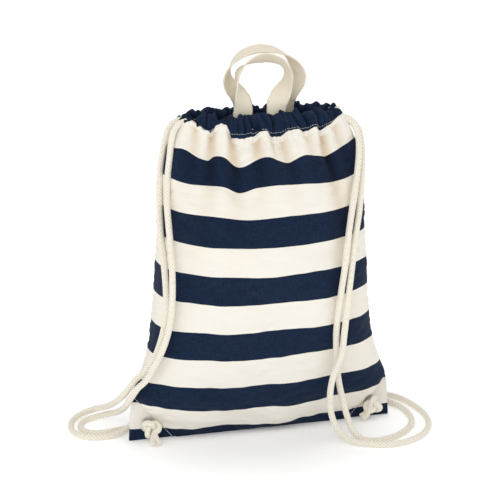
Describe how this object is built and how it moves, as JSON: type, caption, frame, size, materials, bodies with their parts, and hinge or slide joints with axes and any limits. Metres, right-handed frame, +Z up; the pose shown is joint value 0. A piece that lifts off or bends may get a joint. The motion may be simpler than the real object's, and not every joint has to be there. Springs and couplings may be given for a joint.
{
  "type": "drawstring sack",
  "caption": "Striped canvas drawstring sack with a gathered mouth, webbing carry handles, rope drawcords and eyeletted bottom corners, stuffed and standing.",
  "frame": {"origin": "on the surface the sack stands on, under the centre of the box of the sack without its free cords", "axes": "+Z up, +X towards the sack's right side as seen from the front, -Y out of the front face"},
  "size_m": [0.463, 0.224, 0.4962],
  "materials": {
    "canvas": "matte plain-weave cotton canvas in navy and natural stripes",
    "canvas_navy": "matte plain-weave cotton canvas, navy",
    "webbing": "matte ribbed cotton webbing",
    "cord": "matte braided cotton",
    "thread": "fine twisted thread",
    "eyelet_metal": "nickel-plated, lightly brushed"
  },
  "bodies": {
    "sack": {"front_panel": "canvas", "back_panel": "canvas", "bottom_seam": "canvas_navy", "left_side_seam": "canvas_navy", "right_side_seam": "canvas_navy", "left_corner": "canvas", "right_corner": "canvas", "left_corner_stitching": "thread", "right_corner_stitching": "thread", "front_channel": "canvas_navy", "back_channel": "canvas_navy", "front_channel_stitching": "thread", "back_channel_stitching": "thread", "front_handle_ends": "webbing", "back_handle_ends": "webbing", "front_handle_stitching": "thread", "back_handle_stitching": "thread", "left_eyelet": "eyelet_metal", "right_eyelet": "eyelet_metal", "left_eyelet_washer": "eyelet_metal", "right_eyelet_washer": "eyelet_metal", "left_cord_front": "cord", "left_cord_back": "cord", "right_cord_front": "cord", "right_cord_back": "cord", "left_cord_in_channel": "cord", "right_cord_in_channel": "cord"},
    "front_handle": {"front_handle": "webbing"},
    "back_handle": {"back_handle": "webbing"},
    "left_knot": {"left_knot": "cord"},
    "right_knot": {"right_knot": "cord"}
  },
  "joints": [
    {"name": "front_handle_swing", "type": "hinge", "parent": "sack", "child": "front_handle", "pos_m": [0, -0.011, 0.42], "axis": [1, 0, 0], "range_deg": [0, 80]},
    {"name": "back_handle_swing", "type": "hinge", "parent": "sack", "child": "back_handle", "pos_m": [0, 0.015, 0.42], "axis": [1, 0, 0], "range_deg": [-80, 0]},
    {"name": "left_knot_pull", "type": "slide", "parent": "sack", "child": "left_knot", "axis": [0, -1, 0], "range_m": [0, 0.015]},
    {"name": "right_knot_pull", "type": "slide", "parent": "sack", "child": "right_knot", "axis": [0, -1, 0], "range_m": [0, 0.015]}
  ]
}
